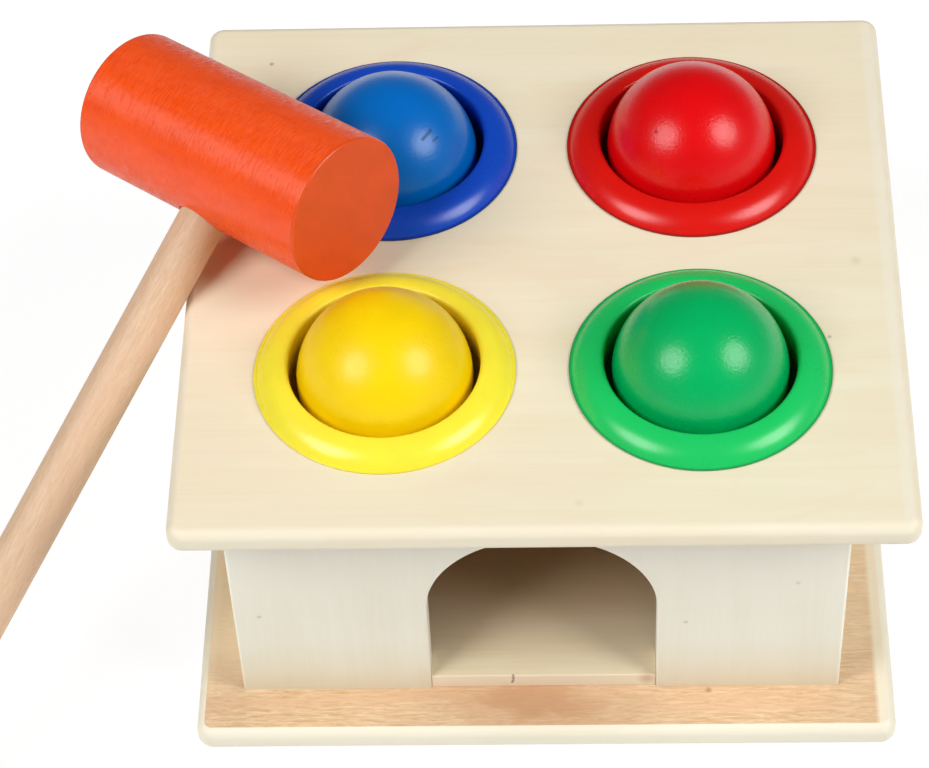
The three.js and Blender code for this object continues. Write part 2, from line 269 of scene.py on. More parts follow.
def streaks(tree, along, length, width, place=0.0, detail=4.0, warp=0.0):
    """Streaks of one length and width along an axis, as a share from 0 to 1."""
    scale = [1 / width] * 3
    scale[along] = 1 / length
    laid = put(tree, "Mapping", {
        "Vector": place_on(tree), "Location": [place] * 3, "Scale": scale,
    })
    return put(tree, "TexNoise", {
        "Vector": laid.outputs["Vector"], "Scale": 1.0, "Detail": detail,
        "Roughness": 0.6, "Distortion": warp,
    }).outputs["Fac"]


def spot(tree, place, size, fade):
    """One mark on a piece: 1 inside its radius, falling to 0 outside it."""
    away = put(tree, "VectorMath", {0: place_on(tree), 1: place}, operation="DISTANCE")
    return spread(tree, away.outputs["Value"], size * (1 + fade), size * (1 - fade))


def raised(tree, shader, height, depth, strength=1.0):
    """Bump of a depth in metres, from a height share."""
    bump = put(tree, "Bump", {"Height": height, "Distance": depth, "Strength": strength})
    tree.links.new(bump.outputs["Normal"], shader.inputs["Normal"])


def beech_streaks(tree, along, dark, light, warm, place=0.0):
    """Rotary beech veneer: wavy streaks, warm bands and short dark flecks."""
    fine = streaks(tree, along, 5 * mm, 0.6 * mm, place, detail=5.0, warp=0.9)
    bands = streaks(tree, along, 60 * mm, 5 * mm, place + 3.1, detail=3.0, warp=1.2)
    flecks = streaks(tree, along, 2.2 * mm, 0.24 * mm, place + 7.7, detail=2.0)
    colour = over(tree, spread(tree, fine, 0.36, 0.64), dark, light)
    colour = over(tree, spread(tree, bands, 0.45, 0.68, 0.0, 0.75), colour, warm)
    flecks = spread(tree, flecks, 0.62, 0.72, 0.0, 0.45)
    return over(tree, flecks, colour, darker(dark, 0.62)), fine


def pale_streaks(tree, along, base, dark, light, place=0.0):
    """Rotary birch veneer: faint fine lines and broad soft bands."""
    fine = streaks(tree, along, 30 * mm, 0.7 * mm, place, detail=5.0, warp=0.3)
    bands = streaks(tree, along, 110 * mm, 11 * mm, place + 5.3, detail=3.0, warp=0.8)
    colour = over(tree, spread(tree, fine, 0.3, 0.75, 0.0, 0.5), base, dark)
    return over(tree, spread(tree, bands, 0.4, 0.7, 0.0, 0.7), colour, light), fine


beech = {"dark": paint(205, 166, 126), "light": paint(229, 201, 164), "warm": paint(219, 180, 143)}
core_pale = paint(240, 233, 211)
core_dull = paint(234, 224, 198)
core_light = paint(244, 238, 220)
pale_face_and_painted_light = paint(246, 226, 190)
stain_brown = paint(200, 151, 112)
knot_brown = paint(138, 96, 70)
grain_relief = 0.05 * mm

base_look, tree, shader = finish("base_ply", 0.55)
beech_face, beech_grain = beech_streaks(tree, x_axis, **beech)
core_edge, _ = pale_streaks(tree, x_axis, core_pale, core_dull, core_light)

# A stained patch and a knot show in front of the doorway
patches = streaks(tree, x_axis, 16 * mm, 9 * mm, 9.0, detail=2.0, warp=1.0)
stain = spot(tree, (-4 * mm, -64 * mm, base_high.z), 16 * mm, fade=0.6)
stain = worked_out(tree, "MULTIPLY", stain, spread(tree, patches, 0.35, 0.6))
beech_face = over(tree, weakened(tree, stain, 0.8), beech_face, stain_brown)
knot = spot(tree, (33.8 * mm, -59.2 * mm, base_high.z), 0.55 * mm, fade=0.6)
beech_face = over(tree, weakened(tree, knot, 0.6), beech_face, knot_brown)

# Sanding has bared the core along the right edge.
across, along, _ = measures(tree)
bare_strip = spread(tree, across, base_high.x - 4.2 * mm, base_high.x - 3.2 * mm, 0, 0.85)
beech_face = over(tree, bare_strip, beech_face, core_pale)
# Beside the walls the face is painted paler, more so further back: partly a face thinned by
# sanding, partly painted light that lifts the shade under the top board's overhang.
further_back = spread(tree, along, -62 * mm, -46 * mm)
for strip_from, strip_to, share in (
    (base_low.x + 3.7 * mm, base_low.x + 2.7 * mm, 0.6),
    (base_low.x + 17 * mm, base_low.x + 13 * mm, 0.7),
    (base_high.x - 17 * mm, base_high.x - 12 * mm, 0.3),
):
    pale_strip_and_painted_light = spread(tree, across, strip_from, strip_to, 0, share)
    pale_strip_and_painted_light = worked_out(tree, "MULTIPLY", pale_strip_and_painted_light, further_back)
    beech_face = over(tree, pale_strip_and_painted_light, beech_face, pale_face_and_painted_light)
past_core = layer_in(tree, z_axis, base_high.z - face_veneer)
tree.links.new(over(tree, past_core, core_edge, beech_face), shader.inputs["Base Color"])
raised(tree, shader, beech_grain, grain_relief, 0.4)
base.data.materials.append(base_look)
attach(base, "bench")
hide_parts("base_board")


# Walls: four boards of pale plywood, glued round a square chamber. The front one has an
# arched doorway sawn out of it, and all their edges are broken with sandpaper. Dowels in
# their tops and screws in their feet hold them between the two boards.
wall_ease = 0.7 * mm
wall_names = ["front_panel", "back_panel", "left_panel", "right_panel"]
foot_gap = 0.01 * mm
doorway_x = -0.25 * mm
doorway_radius = 23.15 * mm
doorway_jamb_top = 33.45 * mm
arch_steps = 48
dowel_names = [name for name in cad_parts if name.startswith("dowel_")]
dowel_sides = 24


def wall_plan(low, high, doorway):
    """A wall's outline seen from the front, going round to the left."""
    plan = [Vector((low.x, low.z)), Vector((high.x, low.z)),
            Vector((high.x, high.z)), Vector((low.x, high.z))]
    if doorway:
        turns = [step / arch_steps * math.pi for step in range(arch_steps + 1)]
        arch = [Vector((doorway_x - doorway_radius * math.cos(turn),
                        doorway_jamb_top + doorway_radius * math.sin(turn))) for turn in turns]
        left_foot = Vector((doorway_x - doorway_radius, low.z))
        right_foot = Vector((doorway_x + doorway_radius, low.z))
        plan[1:1] = [left_foot, *arch, right_foot]
    return plan


def drill(radius, low, high, sides):
    """A plain round hole's tool, between two heights."""
    return turned([(0, low), (radius, low), (radius, high), (0, high)], sides)


def dowel_hole(name):
    """The room for one dowel, wider than it all round."""
    low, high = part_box(name)
    radius = (high.x - low.x) / 2 + drill_room
    return stood_in(drill(radius, low.z - drill_room, high.z + drill_room, dowel_sides), low, high)


def inside(name, low, high):
    """Whether a fixing stands in a wall, seen from above."""
    pin_low, pin_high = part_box(name)
    middle = (pin_low + pin_high) / 2
    return low.x < middle.x < high.x and low.y < middle.y < high.y


def is_layer(tree, layer, number):
    """Whether a layer's number is the given one."""
    return worked_out(tree, "COMPARE", layer, number, 0.1)


def specks(tree, apart, size, share):
    """Small round specks: the distance between them, their radius, and how many of them show."""
    cells = put(tree, "TexVoronoi", {"Vector": place_on(tree), "Scale": 1 / apart})
    chosen = put(tree, "SeparateColor", {"Color": cells.outputs["Color"]}).outputs[0]
    rare = worked_out(tree, "LESS_THAN", chosen, share)
    near = spread(tree, cells.outputs["Distance"], size / apart, 0.4 * size / apart)
    return worked_out(tree, "MULTIPLY", rare, near)


wall_pale = paint(243, 239, 220)
wall_dull = paint(235, 229, 208)
wall_light = paint(247, 243, 228)
wall_painted_bounce = paint(238, 224, 186)
wall_painted_light_head = paint(254, 252, 238)
edge_pale = paint(254, 251, 240)
# The chamber's tan is painted darker than the beech, as painted shade inside the chamber.
chamber_painted_shade_dark = paint(197, 136, 84)
chamber_painted_shade_pale = paint(221, 164, 110)
speck_brown = paint(150, 128, 104)
front_specks = ((-57.3, 31.9), (28.7, 28.9), (50.7, 41.9))


def wall_finish(name, through, low, high, head, place):
    """Plywood standing on its edge, its grain upright: pale outside, and tan in the chamber,
    painted darker there as painted shade.
    """
    look, tree, shader = finish(name, 0.6)
    face, grain = pale_streaks(tree, z_axis, wall_pale, wall_dull, wall_light, place)
    edge, _ = pale_streaks(tree, z_axis, edge_pale, wall_pale, core_light, place + 2)
    chamber, _ = beech_streaks(tree, z_axis, chamber_painted_shade_dark, chamber_painted_shade_pale, beech["dark"], place + 1)
    layer = layer_in(tree, through, low + face_veneer, high - face_veneer)
    chamber_layer = 2.0 if high < 0 else 0.0
    colour = over(tree, is_layer(tree, layer, chamber_layer), face, chamber)
    colour = over(tree, is_layer(tree, layer, 1.0), colour, edge)
    colour = over(tree, specks(tree, 21 * mm, 0.3 * mm, 0.25), colour, speck_brown)
    if name == "front_panel_ply":
        for speck_x, speck_z in front_specks:
            mark = spot(tree, (speck_x * mm, low, speck_z * mm), 0.4 * mm, fade=0.7)
            colour = over(tree, weakened(tree, mark, 0.4), colour, speck_brown)
        # Painted light: the foot is painted warmer, as bounce light off the tan base, and the head
        # paler, lifting the shade under the top board's overhang.
        height = measures(tree)[z_axis]
        painted_bounce_foot = spread(tree, height, base_high.z, base_high.z + 18 * mm, 0.4, 0)
        colour = over(tree, painted_bounce_foot, colour, wall_painted_bounce)
        painted_light_head = spread(tree, height, base_high.z + 26 * mm, head, 0, 0.95)
        colour = over(tree, painted_light_head, colour, wall_painted_light_head)
    tree.links.new(colour, shader.inputs["Base Color"])
    raised(tree, shader, grain, grain_relief, 0.4)
    return look


for place, name in enumerate(wall_names):
    low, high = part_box(name)
    low.z = base_high.z + foot_gap
    if high.x - low.x > high.y - low.y:
        through = y_axis
        flat_low, flat_high = low, high
        upright = Matrix(((1, 0, 0, 0), (0, 0, 1, 0), (0, 1, 0, 0), (0, 0, 0, 1)))
    else:
        through = x_axis
        flat_low, flat_high = Vector((low.y, low.x, low.z)), Vector((high.y, high.x, high.z))
        upright = Matrix(((0, 0, 1, 0), (1, 0, 0, 0), (0, 1, 0, 0), (0, 0, 0, 1)))
    sheet = eased_sheet(wall_plan(flat_low, flat_high, name == "front_panel"),
                        flat_low.y, flat_high.y, wall_ease, steps=3)
    sheet.transform(upright)
    for corner in sheet.verts:
        if corner.co.z < low.z + 1.01 * wall_ease:  # the foot stays square
            corner.co.z = low.z
    bmesh.ops.recalc_face_normals(sheet, faces=sheet.faces)
    holes = [screw_hole(pin) for pin in screw_names if inside(pin, low, high)]
    holes += [dowel_hole(pin) for pin in dowel_names if inside(pin, low, high)]
    wall = shaped(name + "_dressed", cut_away(sheet, holes), even=True)
    wall.data.materials.append(wall_finish(
        name + "_ply", through, low[through], high[through], high.z, 3.7 * place))
    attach(wall, "bench")
    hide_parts(name)


# Ramp: a thin board that leans from the back wall down to the doorway, where a tongue on
# it fills the foot of the opening. It rests on a strip of wood glued behind it, and the
# balls land on it and roll out.
ramp_low, ramp_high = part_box("ramp")
ramp_lean = math.radians(10)
ramp_drop = 4 * mm / math.cos(ramp_lean)
ramp_toe = 2.3 * mm
ramp_edge_top = 9.856 * mm
ramp_ease = 0.25 * mm
ramp_ease_steps = 6
tongue_room = 0.05 * mm
tongue_depth = 6.1 * mm


def ramp_top(y):
    """Height of the ramp's upper face at a place along the bench."""
    return ramp_edge_top + (y - ramp_low.y) * math.tan(ramp_lean)


ramp_side = [
    (ramp_low.y, ramp_low.z),
    (ramp_low.y + ramp_toe, ramp_low.z),
    (ramp_high.y, ramp_top(ramp_high.y) - ramp_drop),
    (ramp_high.y, ramp_top(ramp_high.y)),
]
nose = Vector((ramp_low.y, ramp_top(ramp_low.y)))
nose_back = Vector((ramp_low.y + ramp_ease, ramp_top(ramp_low.y + ramp_ease)))
nose_foot = nose - Vector((0, ramp_ease))
for step in range(ramp_ease_steps + 1):
    share = step / ramp_ease_steps
    ramp_side.append(nose_back.lerp(nose, share).lerp(nose.lerp(nose_foot, share), share))
ramp_sheet = bmesh.new()
left_side, right_side = [[ramp_sheet.verts.new((x, y, z)) for y, z in ramp_side]
                         for x in (ramp_low.x, ramp_high.x)]
ramp_sheet.faces.new(left_side)
ramp_sheet.faces.new(right_side)
for side in range(len(ramp_side)):
    ramp_sheet.faces.new([left_side[side], left_side[side - 1],
                          right_side[side - 1], right_side[side]])
bmesh.ops.recalc_face_normals(ramp_sheet, faces=ramp_sheet.faces)

# The tongue is left when a square block is sawn out at each side of the front
tongue_half = doorway_radius - tongue_room
wide = 60 * mm
ramp_corners = []
for side in (-1, 1):
    corner = bmesh.new()
    bmesh.ops.create_cube(corner, size=1)
    corner.transform(Matrix.Translation((
        doorway_x + side * (tongue_half + wide / 2),
        ramp_low.y + tongue_depth - wide / 2, ramp_low.z)) @ Matrix.Scale(wide, 4))
    ramp_corners.append(corner)
ramp = shaped("ramp_dressed", cut_away(ramp_sheet, ramp_corners), sharpest=25, even=True)

ramp_pale = paint(236, 220, 186)
ramp_dull = paint(224, 203, 166)
ramp_light = paint(242, 229, 200)
ramp_painted_shade = paint(221, 165, 113)
sawn_pale_and_painted_light = paint(252, 239, 214)
nick_brown = paint(126, 92, 62)
ramp_knot_brown = paint(196, 150, 110)
front_nick = ((-6.75, 7.5), (-6.6, 8.1), (-6.5, 8.7), (-6.5, 9.3), (-6.55, 9.9))

ramp_look, tree, shader = finish("ramp_board", 0.6)
ramp_face, ramp_grain = pale_streaks(tree, x_axis, ramp_pale, ramp_dull, ramp_light, 11.0)
along_ramp = measures(tree)[y_axis]
# Painted shade: the face is painted a darker tan further into the chamber.
painted_shade_inward = spread(tree, along_ramp, ramp_low.y + 3 * mm, ramp_low.y + 36 * mm, 0.0, 0.9)
ramp_face = over(tree, painted_shade_inward, ramp_face, ramp_painted_shade)
# The sawn front is paler: partly its own cut edge, partly painted light on a strip that lies in
# partial shade.
sawn_front = spread(tree, along_ramp, ramp_low.y + 0.12 * mm, ramp_low.y + 0.04 * mm)
ramp_face = over(tree, sawn_front, ramp_face, sawn_pale_and_painted_light)
for nick_x, nick_z in front_nick:
    nick = spot(tree, (nick_x * mm, ramp_low.y, nick_z * mm), 0.26 * mm, fade=0.6)
    ramp_face = over(tree, weakened(tree, nick, 0.9), ramp_face, nick_brown)
ramp_knot = spot(tree, (21.1 * mm, ramp_low.y, 8.6 * mm), 1.4 * mm, fade=0.7)
ramp_face = over(tree, weakened(tree, ramp_knot, 0.5), ramp_face, ramp_knot_brown)
tree.links.new(ramp_face, shader.inputs["Base Color"])
raised(tree, shader, ramp_grain, grain_relief, 0.4)
ramp.data.materials.append(ramp_look)
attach(ramp, "bench")
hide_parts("ramp")


def bare_beech(name, along, place):
    """Beech as it comes from the saw, with its grain along one axis."""
    look, tree, shader = finish(name, 0.65)
    face, grain = beech_streaks(tree, along, **beech, place=place)
    tree.links.new(face, shader.inputs["Base Color"])
    raised(tree, shader, grain, grain_relief, 0.4)
    return look


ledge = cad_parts["ramp_ledge"]
ledge.data.materials.clear()
ledge.data.materials.append(bare_beech("ledge_strip", x_axis, 21.0))


# Screws and dowels: zinc-plated screws driven up through the base board, and short beech
# dowels with chamfered ends, glued into the walls and the top board.
dowel_look = bare_beech("dowel_rod", z_axis, 31.0)
for name in dowel_names:
    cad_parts[name].data.materials.clear()
    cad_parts[name].data.materials.append(dowel_look)

zinc_light = paint(196, 198, 202)
zinc_dull = paint(168, 170, 176)
screw_look, tree, shader = finish("zinc_screw", 0.3)
shader.inputs["Metallic"].default_value = 1.0
zinc_spots = streaks(tree, z_axis, 1.2 * mm, 0.8 * mm, 41.0)
tree.links.new(over(tree, zinc_spots, zinc_light, zinc_dull), shader.inputs["Base Color"])
tree.links.new(spread(tree, zinc_spots, 0.3, 0.7, 0.25, 0.42), shader.inputs["Roughness"])

screw_point = 3 * mm
screw_head_edge = 0.1 * mm
screw_pitch = 1.1 * mm
thread_root = screw_shank_radius - 0.25 * mm
recess_width = 0.62 * mm
recess_reach = 1.55 * mm
recess_depth = 1.3 * mm
recess_taper = 0.55
recess_overlap = 0.01 * mm
square_half = math.sqrt(0.5)
for name in screw_names:
    low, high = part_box(name)
    point = high.z - screw_point
    profile = [(0, low.z), (screw_head_radius - screw_head_edge, low.z),
               (screw_head_radius, low.z + screw_head_edge),
               (screw_shank_radius, screw_head_height), (screw_shank_radius, base_high.z)]
    for thread in range(int((point - base_high.z) / screw_pitch)):
        height = base_high.z + thread * screw_pitch
        profile += [(thread_root, height + 0.3 * screw_pitch),
                    (thread_root, height + 0.7 * screw_pitch),
                    (screw_shank_radius, height + screw_pitch)]
    profile += [(thread_root, point), (0, high.z)]
    recess = []
    for turn in (0, 90):
        slot = bmesh.new()
        bmesh.ops.create_cone(
            slot, cap_ends=True, segments=4, radius1=square_half,
            radius2=square_half * recess_taper, depth=1,
            matrix=Matrix.Rotation(math.radians(45), 4, "Z"))
        slot.transform(Matrix.Translation((0, 0, low.z + recess_depth / 2 - recess_overlap))
                       @ Matrix.Rotation(math.radians(turn), 4, "Z")
                       @ Matrix.Diagonal((2 * recess_reach, recess_width, recess_depth, 1)))
        recess.append(slot)
    screw_mesh = stood_in(cut_away(turned(profile, screw_sides), recess), low, high)
    screw = shaped(name + "_dressed", screw_mesh, sharpest=30)
    screw.data.materials.append(screw_look)
    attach(screw, "bench")
    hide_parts(name)


# Top board: the same plywood with a pale birch face on top. Four round holes go through it
# for the collars, and blind holes in its underside take the dowels.
top_low, top_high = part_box("top_board")
hole_radius = 21.5 * mm
round_sides = 96
ball_colours = ["blue", "red", "yellow", "green"]


def station(colour):
    """The middle of one collar, at the height of the board's face."""
    low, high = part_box("collar_" + colour)
    return Vector(((low.x + high.x) / 2, (low.y + high.y) / 2, top_high.z))


top_holes = []
for colour in ball_colours:
    hole = drill(hole_radius, top_low.z - mm, top_high.z + mm, round_sides)
    hole.transform(Matrix.Translation((station(colour).x, station(colour).y, 0)))
    top_holes.append(hole)
top_holes += [dowel_hole(name) for name in dowel_names]
top_sheet = eased_sheet(rounded_plan(top_low, top_high, board_corner),
                        top_low.z, top_high.z, board_round)
top = shaped("top_board_dressed", cut_away(top_sheet, top_holes), even=True)

top_pale = paint(243, 231, 201)
top_dull = paint(236, 222, 188)
top_light = paint(246, 237, 212)
top_warm = paint(242, 221, 190)
top_edge_pale = paint(240, 228, 202)
top_marks = (
    ((-57.4, 57.3), 0.4, paint(188, 164, 134)),
    ((63.8, -1.3), 0.9, paint(231, 217, 188)),
    ((57.4, -21.4), 0.35, paint(190, 184, 148)),
    ((7.5, -62.2), 0.7, paint(236, 222, 189)),
)

top_look, tree, shader = finish("top_ply", 0.5)
top_face, top_grain = pale_streaks(tree, x_axis, top_pale, top_dull, top_light, 17.0)
drift = streaks(tree, x_axis, 40 * mm, 14 * mm, 51.0, detail=2.0, warp=1.5)
top_face = over(tree, spread(tree, drift, 0.55, 0.75, 0.0, 0.5), top_face, top_warm)
top_edge, _ = pale_streaks(tree, x_axis, top_edge_pale, top_pale, core_light, 19.0)
underside, _ = beech_streaks(tree, x_axis, **beech, place=23.0)
right_edge = spread(tree, measures(tree)[x_axis],
                    top_high.x - 4 * mm, top_high.x - 3.2 * mm, 0, 0.5)
top_face = over(tree, right_edge, top_face, core_light)
layer = layer_in(tree, z_axis, top_low.z + face_veneer, top_high.z - face_veneer)
past_underside = layer_in(tree, z_axis, top_low.z + face_veneer)
colour = over(tree, past_underside, underside, top_face)
colour = over(tree, is_layer(tree, layer, 1.0), colour, top_edge)
colour = over(tree, specks(tree, 26 * mm, 0.25 * mm, 0.3), colour, speck_brown)
for (mark_x, mark_y), size, shade in top_marks:
    mark = spot(tree, (mark_x * mm, mark_y * mm, top_high.z), size * mm, fade=0.7)
    colour = over(tree, mark, colour, shade)
tree.links.new(colour, shader.inputs["Base Color"])
raised(tree, shader, top_grain, grain_relief, 0.35)
top.data.materials.append(top_look)
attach(top, "bench")
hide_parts("top_board")


# Collars: four moulded rings, each with a domed lip on the board, a neck through the hole
# and a bead that snaps in under it. A groove inside the neck holds the grip ring.
bore_radius = 19 * mm
lip_radius = 25.9 * mm
lip_height = 3.5 * mm
flange_width = 0.6 * mm
flange_edge = 0.18 * mm
crest_radius = bore_radius + 0.13 * (lip_radius - bore_radius)
neck_radius = 21.2 * mm
bead_radius = 21.8 * mm
bead_height = 2.2 * mm
groove_top = -4.2 * mm
groove_bottom = -7.4 * mm
groove_depth = 1 * mm
glue_line = 0.1 * mm
ring_sides = 128


def arc(centre, radius_x, radius_z, start, end, steps):
    """Points on a quarter oval, between two angles in degrees."""
    angles = [math.radians(start + (end - start) * step / steps) for step in range(steps + 1)]
    return [(centre[0] + radius_x * math.cos(angle), centre[1] + radius_z * math.sin(angle))
            for angle in angles]


def collar_profile():
    """A collar cut through on one side, with the board's face at height 0."""
    neck_bottom = top_low.z - top_high.z - glue_line
    bottom = neck_bottom - bead_height
    flange_top = glue_line + 2 * flange_edge
    dome_width = lip_radius - flange_width - crest_radius
    dome_height = lip_height - flange_top
    dome_radius = (dome_width ** 2 + dome_height ** 2) / (2 * dome_height)
    dome_turn = math.degrees(math.asin(dome_width / dome_radius))
    dome = arc((crest_radius, lip_height - dome_radius), dome_radius, dome_radius,
               90 - dome_turn, 90, 18)
    foot = arc((lip_radius - flange_edge, glue_line + flange_edge), flange_edge, flange_edge,
               -90, 90, 8)
    inner = crest_radius - bore_radius
    throat = arc((crest_radius, lip_height - inner), inner, inner, 90, 180, 10)[1:]
    bead = arc((neck_radius, bottom + bead_height / 2), bead_radius - neck_radius, bead_height / 2,
               -70, 70, 6)
    return [
        (bore_radius, bottom), (neck_radius, bottom), *bead,
        (neck_radius, neck_bottom), (neck_radius, glue_line), *foot, *dome, *throat,
        (bore_radius, groove_top), (bore_radius + groove_depth, groove_top),
        (bore_radius + groove_depth, groove_bottom), (bore_radius, groove_bottom),
    ]


collar_colours = {
    "blue": paint(16, 74, 196),
    "red": paint(222, 20, 12),
    "yellow": paint(255, 240, 62),
    "green": paint(30, 204, 102),
}
# How much painted shade darkens each ring's foot.
collar_foot_shades = {"blue": 0.8, "red": 0.8, "yellow": 0.1, "green": 0.65}
collar_roughness = 0.26
collar_peel = 0.003 * mm
lacquer_roughness = 0.2
lacquer_bend = 1.35


def gloss_finish(name, colour, place, roughness, peel,
                 marks=(), lie=Matrix(), foot_shade=0.0, bend=1.45, coat=0.0):
    """A smooth coloured surface with a faint unevenness that shows in its highlights.

    Marks are dents in it, a foot shade is painted shade round a ring's foot, and a coat is clear
    lacquer."""
    look, tree, shader = finish(name, roughness, lie)
    shader.inputs["IOR"].default_value = bend
    shader.inputs["Coat Weight"].default_value = coat
    shader.inputs["Coat Roughness"].default_value = lacquer_roughness
    shader.inputs["Coat IOR"].default_value = lacquer_bend
    cloud = streaks(tree, z_axis, 9 * mm, 9 * mm, place, detail=3.0)
    pigment = over(tree, spread(tree, cloud, 0.35, 0.7), colour, darker(colour, 0.93))
    dullness = spread(tree, cloud, 0.35, 0.7, roughness - 0.02, roughness + 0.03)
    dents_and_shade = []
    for mark, size in marks:
        dent = spot(tree, [part * mm for part in mark], size * mm, fade=0.6)
        dents_and_shade.append(weakened(tree, dent, 0.75))
    # Painted shade: a ring is painted darker just inside its foot, where a contact shadow falls.
    if foot_shade:
        flat = put(tree, "VectorMath", {0: place_on(tree), 1: (1, 1, 0)}, operation="MULTIPLY")
        out = put(tree, "VectorMath", {0: flat.outputs[0]}, operation="LENGTH").outputs["Value"]
        dents_and_shade.append(spread(tree, out, lip_radius - 0.45 * mm, lip_radius - 0.2 * mm, 0, foot_shade))
    for dent_or_shade in dents_and_shade:
        pigment = over(tree, dent_or_shade, pigment, darker(colour, 0.25))
        dullness = worked_out(tree, "MAXIMUM", dullness, dent_or_shade)
    tree.links.new(pigment, shader.inputs["Base Color"])
    tree.links.new(dullness, shader.inputs["Roughness"])
    raised(tree, shader, streaks(tree, z_axis, 0.6 * mm, 0.6 * mm, place + 4, detail=1.0), peel)
    return look


for place, colour in enumerate(ball_colours):
    collar_ring = turned(collar_profile(), ring_sides, ring=True)
    collar_ring.transform(Matrix.Translation(station(colour)))
    collar = shaped("collar_" + colour + "_dressed", collar_ring)
    collar.data.materials.append(gloss_finish(
        colour + "_collar", collar_colours[colour], 5.0 * place, collar_roughness, collar_peel,
        lie=Matrix.Translation(station(colour)), foot_shade=collar_foot_shades[colour]))
    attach(collar, "bench")
    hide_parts("collar_" + colour)


# Grip rings: soft rubber rings pressed into the collars' grooves. Each has a lip that hugs
# its ball just below the middle, and gives way when the ball is struck.
grip_gap = 0.2 * mm
grip_hold = 0.3 * mm
grip_roughness = 0.55
grip_peel = 0.01 * mm
ball_radius = 17.5 * mm
grip_colours = {
    "blue": paint(23, 52, 140),
    "red": paint(142, 16, 24),
    "yellow": paint(196, 168, 12),
    "green": paint(18, 132, 60),
}


def grip_profile(sink):
    """A grip ring cut through on one side, for a ball whose middle lies that far down."""
    top = groove_top - grip_gap
    bottom = groove_bottom + grip_gap
    outside = bore_radius + groove_depth - grip_gap
    lip = arc((0, -sink), ball_radius + grip_hold, ball_radius + grip_hold, -17, -23, 5)
    root = (lip[-1][0] + groove_depth, lip[-1][1] - groove_depth / 2)
    return [(outside, bottom), (outside, top), (bore_radius - grip_gap, top), *lip, root,
            (bore_radius - grip_gap, bottom)]


for place, colour in enumerate(ball_colours):
    low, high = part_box("ball_" + colour)
    sink = top_high.z - (low.z + high.z) / 2
    grip_ring = turned(grip_profile(sink), ring_sides, ring=True)
    grip_ring.transform(Matrix.Translation(station(colour)))
    grip = shaped("grip_ring_" + colour + "_dressed", grip_ring)
    grip.data.materials.append(gloss_finish(
        colour + "_grip", grip_colours[colour], 5.0 * place + 2, grip_roughness, grip_peel))
    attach(grip, "bench")
    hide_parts("grip_ring_" + colour)


# Balls: four turned wooden balls, 35 mm across, sprayed with gloss paint. The lathe leaves
# them a hair out of round. The blue one has two short strokes in its paint, and the red one
# a dent.
ball_paints = {
    "blue": paint(0, 108, 196),
    "red": paint(228, 7, 13),
    "yellow": paint(255, 216, 0),
    "green": paint(0, 180, 96),
}
ball_roughness = {"blue": 0.3, "red": 0.28, "yellow": 0.38, "green": 0.27}
ball_peel = 0.05 * mm
ball_unround = 0.03 * mm
ball_marks = {
    "blue": [
        ((6.93, -8.7, 13.49), 0.36), ((7.3, -8.21, 13.6), 0.36), ((7.67, -7.7, 13.69), 0.36),
        ((8.04, -7.18, 13.76), 0.36), ((8.41, -6.63, 13.81), 0.36),
        ((8.99, -8.27, 12.5), 0.24), ((9.27, -7.94, 12.52), 0.24),
        ((9.55, -7.59, 12.52), 0.24), ((9.83, -7.24, 12.51), 0.24),
    ],
    "red": [((-7.67, -8.73, 13.08), 0.4)],
}

for place, colour in enumerate(ball_colours):
    low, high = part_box("ball_" + colour)
    sphere = bmesh.new()
    bmesh.ops.create_icosphere(sphere, subdivisions=6, radius=1)
    for corner in sphere.verts:
        out = corner.co.normalized()
        swell = noise.noise(out * 1.4 + Vector((place * 7.0, 0, 0)))
        corner.co = out * (ball_radius - ball_unround * (1 + swell))
    ball = shaped("ball_" + colour + "_dressed", sphere)
    ball.location = (low + high) / 2
    ball.data.materials.append(gloss_finish(
        colour + "_ball", ball_paints[colour], 5.0 * place + 60, ball_roughness[colour],
        ball_peel, ball_marks.get(colour, ()), bend=1.33, coat=0.3))
    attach(ball, "ball_" + colour)
    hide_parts("ball_" + colour)


# Mallet: a turned wooden head, sprayed orange-red, on a plain beech dowel that is glued
# 20 mm into it. It leans against the bench, head on the top board and handle over the edge.
head_radius = 15.2 * mm
head_length = 61.3 * mm
head_ease = 0.6 * mm
handle_radius = 4.95 * mm
handle_reach = 165.6 * mm
handle_socket_end = 4.8 * mm
handle_ease = 1.2 * mm
handle_glued_ease = 0.2 * mm
socket_sides = 48
handle_sides = 64
mallet_middle = (-60.48 * mm, 12.83 * mm, 92.153 * mm)
mallet_heading, handle_slope, mallet_twist = -35.1, 31.959, -10
mallet_place = (
    Matrix.Translation(mallet_middle)
    @ Matrix.Rotation(math.radians(mallet_heading), 4, "Z")
    @ Matrix.Rotation(math.radians(handle_slope - 90), 4, "X")
    @ Matrix.Rotation(math.radians(mallet_twist), 4, "Z")
)


def rod_profile(radius, low, high, low_ease, high_ease, steps=6):
    """A turned rod with both its ends eased."""
    return [
        (0, low),
        *arc((radius - low_ease, low + low_ease), low_ease, low_ease, -90, 0, steps),
        *arc((radius - high_ease, high - high_ease), high_ease, high_ease, 0, 90, steps),
        (0, high),
    ]


head_rod = turned(rod_profile(head_radius, -head_length / 2, head_length / 2,
                              head_ease, head_ease), ring_sides)
head_rod.transform(Matrix.Rotation(math.radians(90), 4, "Y"))
socket = drill(handle_radius + drill_room, -2 * head_radius, handle_socket_end + drill_room,
               socket_sides)
head_turned = cut_away(head_rod, [socket])
head_turned.transform(mallet_place)
head = shaped("mallet_head_dressed", head_turned, even=True)

orange = paint(253, 83, 13)
orange_deep = paint(241, 72, 9)
orange_scuffed = paint(255, 112, 54)
orange_end = paint(230, 82, 26)

